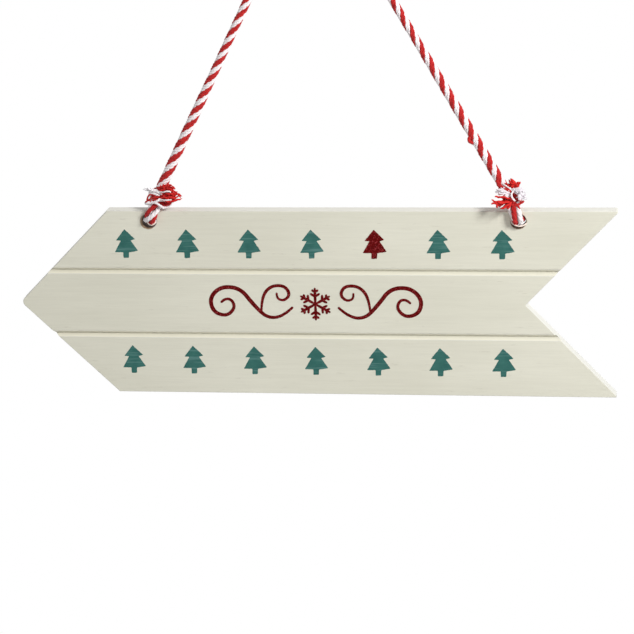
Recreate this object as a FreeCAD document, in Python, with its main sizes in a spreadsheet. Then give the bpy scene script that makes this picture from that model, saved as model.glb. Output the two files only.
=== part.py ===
import FreeCAD, Part
import math
import os

import Sketcher
from FreeCAD import Placement, Rotation, Vector

# A painted wooden arrow sign that hangs by a twisted cord.
# The origin is the axis of the hook that the cord's bend goes over.
# X runs to the reader's right, Y from front to back and Z up.
# The board's mid-plane is Y = 0. All sizes are in millimetres.

DIMENSIONS = {
    # board
    "board_length": 400.0,
    "board_height": 128.0,
    "board_thickness": 9.0,
    "tip_depth": 64.0,
    "notch_depth": 60.5,
    "tip_radius": 4.0,
    "corner_radius": 0.9,
    "notch_radius": 0.8,
    "edge_radius": 0.6,
    # two V-grooves across the front
    "groove_spacing": 44.8,
    "groove_width": 4.8,
    "groove_depth": 2.4,
    # cord holes, placed from the board's mid-length and its top edge
    "hole_diameter": 9.8,
    "hole_drop": 6.9,
    "hole_chamfer": 0.4,
    "left_hole_reach": 107.8,
    "right_hole_reach": 135.2,
    # where the board hangs below the hook
    "hang_drop": 212.4,
    "hook_offset": 8.3,
    "hook_radius": 4.0,
    # cord: it is pressed flat where it loops through the holes
    "cord_diameter": 5.5,
    "loop_width": 8.0,
    "loop_clearance": 0.6,
    "loop_lift": 0.9,
    "loop_bend_radius": 5.5,
    # knots above the top edge, with a flat seat for each run of cord
    "left_knot_reach": 99.8,
    "right_knot_reach": 130.6,
    "knot_rise": 9.8,
    "knot_radius": 6.8,
    "knot_seat": 5.6,
    # frayed ends that fan out of the knots
    "fray_length": 7.0,
    "fray_root_radius": 2.4,
    "fray_tip_radius": 3.0,
}
TOLERANCE = 1e-4
VOLUME_TOLERANCE = 0.01
# how far round from straight down the loop's two runs leave a knot, in degrees
SEAT_ANGLE = 60
# a sketch numbers a line's points so, and its origin is the first point of its own axis
START, END, CENTRE = 1, 2, 3
AXIS = -1
ORIGIN = (AXIS, START)

doc = FreeCAD.newDocument("hanging_sign")


def make_sheet():
    sheet = doc.addObject("Spreadsheet::Sheet", "dims")
    for row, (alias, value) in enumerate(DIMENSIONS.items(), start=1):
        cell = f"A{row}"
        sheet.set(cell, str(value))
        sheet.setAlias(cell, alias)
    doc.recompute()
    return sheet


dims = make_sheet()


def bind(item, path, expression):
    """Tie a property of a document object to cells of the sheet."""
    item.setExpression(path, expression)


def drive(sketch, constraint, expression):
    """Add a constraint whose value follows cells of the sheet."""
    index = sketch.addConstraint(constraint)
    sketch.setExpression(f"Constraints[{index}]", expression)


def origin_plane(body, role):
    return next(item for item in body.Origin.OriginFeatures if item.Role == role)


def sketch_on(body, role, name):
    sketch = body.newObject("Sketcher::SketchObject", name)
    sketch.AttachmentSupport = [(origin_plane(body, role), "")]
    sketch.MapMode = "FlatFace"
    return sketch


def add_closed_lines(sketch, corners):
    """Draw lines from corner to corner and join each to the next."""
    points = [Vector(x, y, 0) for x, y in corners]
    count = len(points)
    for index in range(count):
        sketch.addGeometry(Part.LineSegment(points[index], points[(index + 1) % count]))
    for index in range(count):
        sketch.addConstraint(Sketcher.Constraint("Coincident", index, END, (index + 1) % count, START))


def edge_names(feature, wanted):
    names = [f"Edge{number}" for number, edge in enumerate(feature.Shape.Edges, 1) if wanted(edge)]
    if not names:
        raise RuntimeError(f"no edges found on {feature.Name}")
    return names


def round_edges(body, feature, wanted, name, size):
    doc.recompute()
    fillet = body.newObject("PartDesign::Fillet", name)
    fillet.Base = (feature, edge_names(feature, wanted))
    bind(fillet, "Radius", size)
    return fillet


def cut_volume_check(before, after, expected, label):
    removed = before - after
    if abs(removed - expected) > VOLUME_TOLERANCE * expected:
        raise RuntimeError(f"{label} removed {removed:.1f}, not {expected:.1f} cubic mm")


def board_outline(body):
    """Arrow outline: a point at the left and a V-notch at the right."""
    half_length = dims.board_length / 2
    half_height = dims.board_height / 2
    shoulder = dims.tip_depth - half_length
    sketch = sketch_on(body, "XZ_Plane", "board_outline")
    add_closed_lines(sketch, [
        (shoulder, half_height),
        (half_length, half_height),
        (half_length - dims.notch_depth, 0),
        (half_length, -half_height),
        (shoulder, -half_height),
        (-half_length, 0),
    ])
    top, notch_top, notch_bottom, tip_bottom, tip_top = 0, 1, 2, 4, 5
    rule = Sketcher.Constraint
    sketch.addConstraint(rule("Horizontal", top))
    sketch.addConstraint(rule("Symmetric", top, START, tip_bottom, START, AXIS))
    sketch.addConstraint(rule("Symmetric", top, END, notch_bottom, END, AXIS))
    sketch.addConstraint(rule("PointOnObject", notch_top, END, AXIS))
    sketch.addConstraint(rule("PointOnObject", tip_top, START, AXIS))
    drive(sketch, rule("DistanceX", tip_top, START, *ORIGIN, half_length), "dims.board_length / 2")
    drive(sketch, rule("DistanceX", tip_top, START, top, END, dims.board_length), "dims.board_length")
    drive(sketch, rule("DistanceX", tip_top, START, top, START, dims.tip_depth), "dims.tip_depth")
    drive(sketch, rule("DistanceX", notch_top, END, top, END, dims.notch_depth), "dims.notch_depth")
    height = rule("DistanceY", tip_bottom, START, top, START, dims.board_height)
    drive(sketch, height, "dims.board_height")
    return sketch


def groove_profile(body):
    """V section of the upper groove, open at the front face."""
    front = -dims.board_thickness / 2
    centre = dims.groove_spacing / 2
    half_width = dims.groove_width / 2
    sketch = sketch_on(body, "YZ_Plane", "groove_profile")
    add_closed_lines(sketch, [
        (front, centre + half_width),
        (front, centre - half_width),
        (front + dims.groove_depth, centre),
    ])
    mouth, lower_wall = 0, 1
    rule = Sketcher.Constraint
    sketch.addConstraint(rule("Vertical", mouth))
    drive(sketch, rule("DistanceX", mouth, START, *ORIGIN, -front), "dims.board_thickness / 2")
    drive(sketch, rule("DistanceY", mouth, END, mouth, START, dims.groove_width), "dims.groove_width")
    drive(sketch, rule("DistanceX", mouth, END, lower_wall, END, dims.groove_depth), "dims.groove_depth")
    drive(sketch, rule("DistanceY", *ORIGIN, lower_wall, END, centre), "dims.groove_spacing / 2")
    drive(sketch, rule("DistanceY", mouth, END, lower_wall, END, half_width), "dims.groove_width / 2")
    return sketch


def hole_circles(body):
    height = dims.board_height / 2 - dims.hole_drop
    radius = dims.hole_diameter / 2
    sketch = sketch_on(body, "XZ_Plane", "cord_holes")
    height_cells = "dims.board_height / 2 - dims.hole_drop"
    places = (
        (-dims.left_hole_reach, "-dims.left_hole_reach"),
        (dims.right_hole_reach, "dims.right_hole_reach"),
    )
    rule = Sketcher.Constraint
    for circle, (across, across_cell) in enumerate(places):
        sketch.addGeometry(Part.Circle(Vector(across, height, 0), Vector(0, 0, 1), radius))
        drive(sketch, rule("Diameter", circle, dims.hole_diameter), "dims.hole_diameter")
        drive(sketch, rule("DistanceX", *ORIGIN, circle, CENTRE, across), across_cell)
        drive(sketch, rule("DistanceY", *ORIGIN, circle, CENTRE, height), height_cells)
    return sketch


def cut_through(body, sketch, name):
    pocket = body.newObject("PartDesign::Pocket", name)
    pocket.Profile = sketch
    pocket.SideType = "Symmetric"
    pocket.Type = "ThroughAll"
    doc.recompute()
    return pocket


def along_thickness_at(points):
    """Pick the straight edges that cross the thickness at the given outline corners."""
    def wanted(edge):
        ends = [vertex.Point for vertex in edge.Vertexes]
        if len(ends) != 2 or abs(ends[0].y - ends[1].y) < TOLERANCE:
            return False
        return any(
            all(math.hypot(end.x - x, end.z - z) < TOLERANCE for end in ends) for x, z in points
        )
    return wanted


def on_broad_faces(edge):
    middle = edge.valueAt((edge.FirstParameter + edge.LastParameter) / 2)
    points = [vertex.Point for vertex in edge.Vertexes] + [middle]
    return all(abs(abs(point.y) - dims.board_thickness / 2) < TOLERANCE for point in points)


def is_hole_rim(edge):
    if not isinstance(edge.Curve, Part.Circle) or not on_broad_faces(edge):
        return False
    return abs(edge.Curve.Radius - dims.hole_diameter / 2) < TOLERANCE


def make_board():
    """One board cut to an arrow, with eased edges, V-grooves and two cord holes."""
    half_length = dims.board_length / 2
    half_height = dims.board_height / 2
    shoulder = dims.tip_depth - half_length
    body = doc.addObject("PartDesign::Body", "board")

    blank = body.newObject("PartDesign::Pad", "board_blank")
    blank.Profile = board_outline(body)
    blank.SideType = "Symmetric"
    bind(blank, "Length", "dims.board_thickness")

    tip = along_thickness_at([(-half_length, 0)])
    notch = along_thickness_at([(half_length - dims.notch_depth, 0)])
    corners = along_thickness_at(
        [(x, z) for x in (shoulder, half_length) for z in (half_height, -half_height)]
    )
    rounded = round_edges(body, blank, tip, "tip_rounding", "dims.tip_radius")
    rounded = round_edges(body, rounded, corners, "corner_rounding", "dims.corner_radius")
    rounded = round_edges(body, rounded, notch, "notch_rounding", "dims.notch_radius")
    eased = round_edges(body, rounded, on_broad_faces, "edge_easing", "dims.edge_radius")
    doc.recompute()

    before = eased.Shape.Volume
    holes = cut_through(body, hole_circles(body), "cord_hole_cut")
    hole_area = math.pi * dims.hole_diameter ** 2 / 4
    cut_volume_check(before, holes.Shape.Volume, 2 * hole_area * dims.board_thickness, "the cord holes")

    rims = body.newObject("PartDesign::Chamfer", "hole_rims")
    rims.Base = (holes, edge_names(holes, is_hole_rim))
    bind(rims, "Size", "dims.hole_chamfer")
    doc.recompute()

    before = rims.Shape.Volume
    groove = cut_through(body, groove_profile(body), "upper_groove")
    grooves = body.newObject("PartDesign::Mirrored", "both_grooves")
    grooves.Originals = [groove]
    grooves.MirrorPlane = (origin_plane(body, "XY_Plane"), [""])
    body.Tip = grooves
    doc.recompute()
    section = dims.groove_width * dims.groove_depth / 2
    half_spacing = dims.groove_spacing / 2
    tip_end = -half_length + dims.tip_depth * half_spacing / half_height
    tail_end = half_length - dims.notch_depth * (1 - half_spacing / half_height)
    cut_volume_check(before, grooves.Shape.Volume, 2 * section * (tail_end - tip_end), "the grooves")

    bind(body, "Placement.Base.x", "-dims.hook_offset")
    bind(body, "Placement.Base.z", "-(dims.hang_drop + dims.board_height / 2)")
    return body


def below_hook(reach, drop):
    """A point in the board's mid-plane, from the board's mid-length and the hook's height."""
    return Vector(reach - dims.hook_offset, 0, -drop)


def hole_centre(side):
    """Middle of a cord hole; side is -1 at the left and 1 at the right."""
    reach = -dims.left_hole_reach if side < 0 else dims.right_hole_reach
    return below_hook(reach, dims.hang_drop + dims.hole_drop)


def knot_centre(side):
    reach = -dims.left_knot_reach if side < 0 else dims.right_knot_reach
    return below_hook(reach, dims.hang_drop - dims.knot_rise)


def bend_radius():
    return dims.hook_radius + dims.cord_diameter / 2


def leg_angle(side):
    """Lean of a leg from upright: it runs from its knot, tangent to the bend over the hook."""
    knot = knot_centre(side)
    return math.atan2(-knot.x, -knot.z) + side * math.asin(bend_radius() / knot.Length)


def loop_angle(side):
    """Lean of a loop from upright: it runs from its hole to its knot."""
    rise = knot_centre(side) - hole_centre(side)
    return math.atan2(rise.x, rise.z)


def leaning(centre, angle):
    """Placement with Z leaned from upright to the right by an angle, and Y from front to back."""
    return Placement(centre, Rotation(Vector(0, 1, 0), math.degrees(angle)))


def rounded_route(points, radius):
    """Straight runs from point to point, with a tangent arc at each corner between."""
    edges = []
    start = points[0]
    for before, corner, after in zip(points, points[1:], points[2:]):
        back = (before - corner).normalize()
        ahead = (after - corner).normalize()
        half_angle = back.getAngle(ahead) / 2
        setback = radius / math.tan(half_angle)
        inward = (back + ahead).normalize()
        arc_start = corner + back * setback
        arc_end = corner + ahead * setback
        arc_middle = corner + inward * (radius / math.sin(half_angle) - radius)
        edges.append(Part.LineSegment(start, arc_start).toShape())
        edges.append(Part.Arc(arc_start, arc_middle, arc_end).toShape())
        start = arc_end
    edges.append(Part.LineSegment(start, points[-1]).toShape())
    return Part.Wire(edges)


def cord_section(centre, heading, width):
    """Oval end of a cord, its width square to the plane that the cord bends in."""
    thickness = dims.cord_diameter
    if width == thickness:
        return Part.Wire(Part.Circle(centre, heading, thickness / 2).toShape())
    across = Vector(1, 0, 0)
    deep = heading.cross(across)
    oval = Part.Ellipse(centre + across * (width / 2), centre + deep * (thickness / 2), centre)
    return Part.Wire(oval.toShape())


def cord_tube(points, radius, width, label):
    """Tube along a route, checked against its section times its length."""
    path = rounded_route(points, radius)
    heading = (points[1] - points[0]).normalize()
    tube = path.makePipeShell([cord_section(points[0], heading, width)], True, False)
    expected = math.pi * dims.cord_diameter * width / 4 * path.Length
    if abs(tube.Volume - expected) > VOLUME_TOLERANCE * expected:
        raise RuntimeError(f"{label} holds {tube.Volume:.1f}, not {expected:.1f} cubic mm")
    print(f"{label}: length {path.Length:.1f}, {len(points) - 2} bends of radius {radius:.2f}")
    return tube


def make_legs(name):
    """Two taut legs that meet in a bend over the hook."""
    (left_foot, left), (right_foot, right) = [
        (place.multVec(Vector(0, 0, dims.knot_seat)), place.Rotation.multVec(Vector(0, 0, 1)))
        for place in (leaning(knot_centre(side), leg_angle(side)) for side in (-1, 1))
    ]
    gap = right_foot - left_foot
    rise = (gap.x * right.z - gap.z * right.x) / (left.x * right.z - left.z * right.x)
    hook_corner = left_foot + left * rise
    legs = doc.addObject("Part::Feature", name)
    legs.Shape = cord_tube([left_foot, hook_corner, right_foot], bend_radius(), dims.cord_diameter, name)
    legs.Placement = Placement()
    return legs


def make_loop(side, name):
    """Cord from the knot's front seat, through the hole and up the back to the other seat."""
    reach = dims.board_thickness / 2 + dims.cord_diameter / 2 + dims.loop_clearance
    knot = (knot_centre(side) - hole_centre(side)).Length
    seat_angle = math.radians(SEAT_ANGLE)
    seat_reach = dims.knot_seat * math.sin(seat_angle)
    seat_height = knot - dims.knot_seat * math.cos(seat_angle)
    shoulder = seat_height - (reach - seat_reach) / math.tan(seat_angle)
    route = [
        Vector(0, -seat_reach, seat_height),
        Vector(0, -reach, shoulder),
        Vector(0, -reach, dims.loop_lift),
        Vector(0, reach, dims.loop_lift),
        Vector(0, reach, shoulder),
        Vector(0, seat_reach, seat_height),
    ]
    loop = doc.addObject("Part::Feature", name)
    loop.Shape = cord_tube(route, dims.loop_bend_radius, dims.loop_width, name)
    loop.Placement = leaning(hole_centre(side), loop_angle(side))
    return loop


def make_hanging_cord(name):
    """The one cord: its legs over the hook and the loop at each end."""
    cord = doc.addObject("Part::Compound", name)
    cord.Links = [make_legs("legs"), make_loop(-1, "left_loop"), make_loop(1, "right_loop")]
    return cord


def seat_block(name, turn):
    """Block whose top is a seat; it is turned with its top facing out of the knot."""
    block = doc.addObject("Part::Box", name)
    bind(block, "Length", "4 * dims.knot_radius")
    bind(block, "Width", "4 * dims.knot_radius")
    bind(block, "Height", "2 * dims.knot_radius + dims.knot_seat")
    corner = Vector(-2 * dims.knot_radius, -2 * dims.knot_radius, -2 * dims.knot_radius)
    block.Placement = Placement(turn.multVec(corner), turn)
    return block


def make_knot(side, name):
    """Drum, round seen from the front, with a flat seat for each run of cord that it holds."""
    lean = math.degrees(leg_angle(side) - loop_angle(side))
    drum = doc.addObject("Part::Cylinder", f"{name}_drum")
    bind(drum, "Radius", "dims.knot_radius")
    bind(drum, "Height", "2 * dims.knot_radius")
    drum.Placement = Placement(Vector(0, -dims.knot_radius, 0), Rotation(Vector(1, 0, 0), -90))
    seats = {
        "leg": Rotation(Vector(0, 1, 0), lean),
        "left_end": Rotation(Vector(0, 1, 0), lean - 90),
        "right_end": Rotation(Vector(0, 1, 0), lean + 90),
        "front_run": Rotation(Vector(1, 0, 0), 180 - SEAT_ANGLE),
        "back_run": Rotation(Vector(1, 0, 0), SEAT_ANGLE - 180),
    }
    knot = doc.addObject("Part::MultiCommon", name)
    knot.Shapes = [drum] + [seat_block(f"{name}_{run}_seat", turn) for run, turn in seats.items()]
    knot.Placement = leaning(knot_centre(side), loop_angle(side))
    return knot


def make_frayed_ends(side, name):
    """The cord's untwisted ends, which fan out of the knot to both sides."""
    tufts = []
    for way, quarter_turn in (("left", -90), ("right", 90)):
        tuft = doc.addObject("Part::Cone", f"{name}_{way}")
        bind(tuft, "Radius1", "dims.fray_root_radius")
        bind(tuft, "Radius2", "dims.fray_tip_radius")
        bind(tuft, "Height", "dims.fray_length")
        turn = Rotation(Vector(0, 1, 0), quarter_turn)
        tuft.Placement = Placement(turn.multVec(Vector(0, 0, dims.knot_seat)), turn)
        tufts.append(tuft)
    ends = doc.addObject("Part::Compound", name)
    ends.Links = tufts
    ends.Placement = leaning(knot_centre(side), leg_angle(side))
    return ends


def make_sub_parts():
    parts = [make_board(), make_hanging_cord("hanging_cord")]
    for side, name in ((-1, "left"), (1, "right")):
        parts.append(make_knot(side, f"{name}_knot"))
        parts.append(make_frayed_ends(side, f"{name}_frayed_ends"))
    for part in parts:
        part.Label = part.Name
    doc.recompute()
    return parts


def check_document(parts):
    for item in doc.Objects:
        if "Invalid" in item.State or "Error" in item.State:
            raise RuntimeError(f"{item.Name} failed: {item.State}")
    for part in parts:
        if part.Shape.isNull() or not part.Shape.isValid():
            raise RuntimeError(f"{part.Label} has no valid shape")


def write_steps(parts):
    os.makedirs("parts", exist_ok=True)
    for part in parts:
        part.Shape.exportStep(f"parts/{part.Label}.step")
        box = part.Shape.BoundBox
        print(f"{part.Label}: {len(part.Shape.Solids)} solids, {part.Shape.Volume:.1f} cubic mm,",
              f"{box.XLength:.1f} x {box.YLength:.1f} x {box.ZLength:.1f}")


sub_parts = make_sub_parts()
check_document(sub_parts)
write_steps(sub_parts)
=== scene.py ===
import math
import random

import bpy
import numpy as np
from mathutils import Matrix, Vector


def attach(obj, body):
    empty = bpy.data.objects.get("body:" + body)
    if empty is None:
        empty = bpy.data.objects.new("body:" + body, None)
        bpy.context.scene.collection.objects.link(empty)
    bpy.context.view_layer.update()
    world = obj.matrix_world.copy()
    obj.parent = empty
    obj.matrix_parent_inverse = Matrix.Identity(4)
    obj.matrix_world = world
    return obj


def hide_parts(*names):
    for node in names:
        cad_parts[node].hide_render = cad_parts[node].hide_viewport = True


# A painted wooden arrow sign that hangs by a red and white twisted cord.
# X runs to the reader's right, Y from front to back and Z up.
# Shapes are worked out in millimetres and turned to metres when a mesh is made.
# Where a table has two keys, -1 is the left side and 1 the right one.

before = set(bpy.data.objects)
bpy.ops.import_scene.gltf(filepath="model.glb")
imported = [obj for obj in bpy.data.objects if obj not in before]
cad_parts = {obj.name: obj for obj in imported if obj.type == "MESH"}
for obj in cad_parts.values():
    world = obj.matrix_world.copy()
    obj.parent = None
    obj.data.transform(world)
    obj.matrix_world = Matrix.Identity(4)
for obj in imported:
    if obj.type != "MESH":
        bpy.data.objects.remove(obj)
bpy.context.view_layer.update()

MM = 0.001

# The board and the cord, as in the solids; holes and knots are given by X and Z
BOARD_MIDDLE = -276.4
BOARD_FRONT = -4.5
GROOVE_OFFSET = 22.4
GROOVE_HALF_WIDTH = 2.4
HOLES = {-1: (-116.1, -219.3), 1: (126.9, -219.3)}
HOLE_RADIUS = 4.9
RIM_CHIPS = {-1: (-0.9, -0.5), 1: (0.0, 0.0)}
WORN_CORNER = (190.6, -340.2)
KNOTS = {-1: (-108.1, -202.6), 1: (122.3, -202.6)}

# Camera, fitted to the photograph: degrees, metres and pixels of a 634 x 634 frame
CAMERA_TARGET = Vector((-0.00742, 0, -0.28718))
CAMERA_DISTANCE = 1.4274
CAMERA_AZIMUTH = 8.428
CAMERA_ELEVATION = 19.124
CAMERA_ROLL = -2.331
FOCAL_PIXELS = 2145.0
FRAME_PIXELS = 634
SENSOR_WIDTH = 36

# Light and floor, in metres and watts
WORLD_LIGHT = {"front": 0.225, "back": 1.1, "left": 0.6}
KEY_PLACE = (0.98, -0.85, 0.67)
KEY_TARGET = (0, 0, -0.26)
KEY_SIZE = 0.42
KEY_POWER = 24.3
FLOOR_HEIGHT = -1.0
FLOOR_HALF = 8
FLOOR_COLOUR = (0.93, 0.93, 0.93, 1)
FLOOR_FADE = (0.35, 0.85)
PURE_WHITE = (1, 1, 1, 1)

# Colours of the board
PAINT_COLOURS = (0.70, 0.685, 0.575, 1), (0.75, 0.735, 0.625, 1)
GRAIN_COLOUR = (0.52, 0.50, 0.405, 1)
FINE_GRAIN_COLOUR = (0.56, 0.54, 0.45, 1)
STREAK_COLOUR = (0.45, 0.42, 0.33, 1)
# Painted highlight: whiter paint on the board's edges, lighter on faces turned up as painted light from above
EDGE_HIGHLIGHT_COLOURS = (0.68, 0.675, 0.635, 1), (0.74, 0.73, 0.675, 1)
# Painted light on the groove walls, a painted highlight on their upper lips and painted shade towards their
# bottoms
GROOVE_LIGHT_COLOUR = (0.80, 0.77, 0.635, 1)
LIP_HIGHLIGHT_COLOUR = (0.93, 0.91, 0.79, 1)
GROOVE_SHADE_COLOUR = (0.30, 0.28, 0.22, 1)
# Very dark bare wood: painted shade in the holes, real wear at the worn corner
WOOD_AND_SHADE_COLOURS = (0.030, 0.012, 0.006, 1), (0.095, 0.042, 0.020, 1)
RIM_COLOURS = (0.20, 0.12, 0.065, 1), (0.42, 0.30, 0.19, 1)

# Colours of the print
INK_COLOURS = (0.024, 0.112, 0.098, 1), (0.038, 0.148, 0.126, 1)
THIN_INK_COLOUR = (0.12, 0.28, 0.26, 1)
RIDGE_INK_COLOUR = (0.15, 0.30, 0.285, 1)
GLITTER_COLOURS = (0.070, 0.0006, 0.0010, 1), (0.150, 0.0030, 0.0036, 1)
# Painted glints on a few glitter flakes
PAINTED_GLINT_COLOUR = (0.34, 0.045, 0.05, 1)


# Node helpers

def add_node(tree, kind, inputs=None, **settings):
    node = tree.nodes.new(kind)
    for name, value in settings.items():
        setattr(node, name, value)
    for key, value in (inputs or {}).items():
        if isinstance(value, bpy.types.NodeSocket):
            tree.links.new(value, node.inputs[key])
        else:
            node.inputs[key].default_value = value
    return node


def new_material(name, **values):
    material = bpy.data.materials.new(name)
    material.use_nodes = True
    shader = material.node_tree.nodes["Principled BSDF"]
    for socket, value in values.items():
        shader.inputs[socket.replace("_", " ")].default_value = value
    return material, material.node_tree, shader


def noise(tree, place, scale, detail=3.0, roughness=0.55):
    mapping = add_node(tree, "ShaderNodeMapping", {"Vector": place, "Scale": scale})
    texture = add_node(tree, "ShaderNodeTexNoise", {
        "Vector": mapping.outputs["Vector"], "Scale": 1.0, "Detail": detail, "Roughness": roughness})
    return texture.outputs["Fac"]


def span(tree, value, low, high, to_low=0.0, to_high=1.0):
    node = add_node(tree, "ShaderNodeMapRange", {
        "Value": value, "From Min": low, "From Max": high, "To Min": to_low, "To Max": to_high})
    return node.outputs["Result"]


def mixed(tree, factor, first, second):
    node = add_node(tree, "ShaderNodeMix", {0: factor, 6: first, 7: second}, data_type="RGBA")
    return node.outputs[2]


def maths(tree, operation, *values):
    node = add_node(tree, "ShaderNodeMath", dict(enumerate(values)), operation=operation)
    return node.outputs["Value"]


def bump(tree, shader, height, strength, distance):
    node = add_node(tree, "ShaderNodeBump", {"Height": height, "Strength": strength, "Distance": distance})
    tree.links.new(node.outputs["Normal"], shader.inputs["Normal"])


def split(tree, vector):
    return add_node(tree, "ShaderNodeSeparateXYZ", {"Vector": vector}).outputs


def distance_from(tree, place, x, z):
    """Distance from a line along Y, in metres."""
    axes = split(tree, place)
    across = maths(tree, "SUBTRACT", axes["X"], x * MM)
    up = maths(tree, "SUBTRACT", axes["Z"], z * MM)
    return maths(tree, "SQRT", maths(tree, "ADD", maths(tree, "MULTIPLY", across, across),
                                     maths(tree, "MULTIPLY", up, up)))


def looked_at(tree):
    """1 for the rays by which something is seen, and 0 for those that only carry its light."""
    rays = add_node(tree, "ShaderNodeLightPath").outputs
    seen = maths(tree, "MAXIMUM", rays["Is Camera Ray"], rays["Is Glossy Ray"])
    return maths(tree, "MAXIMUM", seen, rays["Is Transmission Ray"])


# Materials

def behind_front(depth):
    """Y, in metres, at a depth in mm behind the board's front."""
    return (BOARD_FRONT + depth) * MM


def grained_paint(tree, place, grain, fine):
    """Off-white paint, darker where the grain shows through it."""
    broad = noise(tree, place, (9, 9, 30), 2.0)
    streak = noise(tree, place, (60, 90, 520), 5.0, 0.7)
    paint = mixed(tree, span(tree, broad, 0.3, 0.7), *PAINT_COLOURS)
    paint = mixed(tree, span(tree, grain, 0.38, 0.66, 0.0, 0.13), paint, GRAIN_COLOUR)
    paint = mixed(tree, span(tree, fine, 0.45, 0.7, 0.0, 0.10), paint, FINE_GRAIN_COLOUR)
    return mixed(tree, span(tree, streak, 0.64, 0.74, 0.0, 0.42), paint, STREAK_COLOUR)


def in_grooves(tree, axes, facing):
    """1 on the walls of the two grooves and 0 elsewhere."""
    from_middle = maths(tree, "ABSOLUTE", maths(tree, "SUBTRACT", axes["Z"], BOARD_MIDDLE * MM))
    from_groove = maths(tree, "ABSOLUTE", maths(tree, "SUBTRACT", from_middle, GROOVE_OFFSET * MM))
    near = span(tree, from_groove, (GROOVE_HALF_WIDTH + 0.1) * MM, (GROOVE_HALF_WIDTH + 0.4) * MM, 1.0, 0.0)
    to_front = span(tree, facing["Y"], -0.3, -0.5)
    sunk = span(tree, axes["Y"], behind_front(0.1), behind_front(0.3))
    return maths(tree, "MULTIPLY", maths(tree, "MULTIPLY", near, to_front), sunk)


def groove_light_and_shade(tree, axes, facing, paint):
    """Groove paint with painted light and shade: lighter, warmer walls, most at the left, a painted highlight
    at a groove's upper lip, and painted shade towards its bottom, strongest on the upper wall at the left.
    """
    groove = mixed(tree, span(tree, axes["X"], -0.2, 0.19, 0.95, 0.25), paint, GROOVE_LIGHT_COLOUR)
    lip = maths(tree, "MULTIPLY", span(tree, axes["Y"], behind_front(1.3), behind_front(0.3)),
                span(tree, facing["Z"], -0.3, -0.6))
    groove = mixed(tree, lip, groove, LIP_HIGHLIGHT_COLOUR)
    # Painted shade towards the bottom, strongest on the upper wall at the left
    upper_wall_shade = span(tree, axes["X"], -0.17, -0.10, 0.44, 0.12)
    groove_shade = maths(tree, "MULTIPLY", span(tree, axes["Y"], behind_front(0.7), behind_front(2.3)),
                 span(tree, facing["Z"], -0.3, 0.3, upper_wall_shade, 0.30))
    return mixed(tree, groove_shade, groove, GROOVE_SHADE_COLOUR)


def worn_through(tree, place, paint):
    """The paint, with bare wood in the holes painted almost black as their shade, chips at their rims and one
    worn corner of dark bare wood.
    """
    bare = noise(tree, place, (300, 300, 300), 4.0)
    # Bare wood, dark enough to be the painted shade in the holes
    wood_and_shade = mixed(tree, bare, *WOOD_AND_SHADE_COLOURS)
    rim = mixed(tree, bare, *RIM_COLOURS)
    ragged = span(tree, bare, 0, 1, -0.4 * MM, 0.4 * MM)
    for side, (x, z) in HOLES.items():
        chip_x, chip_z = RIM_CHIPS[side]
        chip = maths(tree, "ADD", distance_from(tree, place, x + chip_x, z + chip_z), ragged)
        bore = maths(tree, "ADD", distance_from(tree, place, x, z), ragged)
        chipped = span(tree, chip, (HOLE_RADIUS + 0.1) * MM, (HOLE_RADIUS + 0.7) * MM, 1.0, 0.0)
        bored = span(tree, bore, (HOLE_RADIUS - 0.2) * MM, (HOLE_RADIUS + 0.2) * MM, 1.0, 0.0)
        paint = mixed(tree, chipped, paint, rim)
        paint = mixed(tree, bored, paint, wood_and_shade)
    from_corner = maths(tree, "ADD", distance_from(tree, place, *WORN_CORNER),
                        span(tree, bare, 0, 1, -0.6 * MM, 0.6 * MM))
    return mixed(tree, span(tree, from_corner, 0.6 * MM, 1.2 * MM, 0.8, 0.0), paint, wood_and_shade)


def painted_wood():
    """Paint that lets the grain show, whiter on the board's edges as a painted highlight and lighter on faces
    turned up as painted light from above, with painted light and shade in the grooves, worn through in places
    and with painted shade in the holes.
    """
    material, tree, shader = new_material("painted_wood", Roughness=0.62, Specular_IOR_Level=0.15)
    coordinates = add_node(tree, "ShaderNodeTexCoord").outputs
    place = coordinates["Object"]
    axes = split(tree, place)
    facing = split(tree, coordinates["Normal"])
    grain = noise(tree, place, (28, 90, 620), 4.0, 0.62)
    fine = noise(tree, place, (90, 300, 2200), 3.0, 0.6)
    paint = grained_paint(tree, place, grain, fine)
    # Painted light and shade in the grooves
    groove = groove_light_and_shade(tree, axes, facing, paint)
    # Painted highlight on the edges, lighter on faces turned up as painted light from above
    edge = mixed(tree, span(tree, facing["Z"], 0.75, 0.95), *EDGE_HIGHLIGHT_COLOURS)
    edge_highlight_share = span(tree, maths(tree, "ABSOLUTE", facing["Y"]), 0.95, 0.75, 0.0, 0.85)
    paint = mixed(tree, edge_highlight_share, paint, edge)
    paint = mixed(tree, in_grooves(tree, axes, facing), paint, groove)
    tree.links.new(worn_through(tree, place, paint), shader.inputs["Base Color"])
    tree.links.new(span(tree, grain, 0.3, 0.7, 0.56, 0.7), shader.inputs["Roughness"])
    relief = maths(tree, "ADD", maths(tree, "MULTIPLY", grain, 0.7), maths(tree, "MULTIPLY", fine, 0.3))
    bump(tree, shader, relief, 0.25, 0.25 * MM)
    return material


def printed_teal():
    """Flat ink that is thin on the ridges of the grain."""
    material, tree, shader = new_material("printed_teal", Roughness=0.6, Specular_IOR_Level=0.2)
    place = add_node(tree, "ShaderNodeTexCoord").outputs["Object"]
    cloud = noise(tree, place, (160, 160, 160), 3.0)
    thin = noise(tree, place, (60, 100, 1500), 4.0, 0.7)
    ridges = noise(tree, place, (30, 100, 700), 3.0, 0.6)
    ink = mixed(tree, span(tree, cloud, 0.3, 0.7), *INK_COLOURS)
    ink = mixed(tree, span(tree, thin, 0.60, 0.74, 0.0, 0.42), ink, THIN_INK_COLOUR)
    ink = mixed(tree, span(tree, ridges, 0.54, 0.66, 0.0, 0.40), ink, RIDGE_INK_COLOUR)
    tree.links.new(ink, shader.inputs["Base Color"])
    bump(tree, shader, thin, 0.15, 0.1 * MM)
    return material


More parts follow.
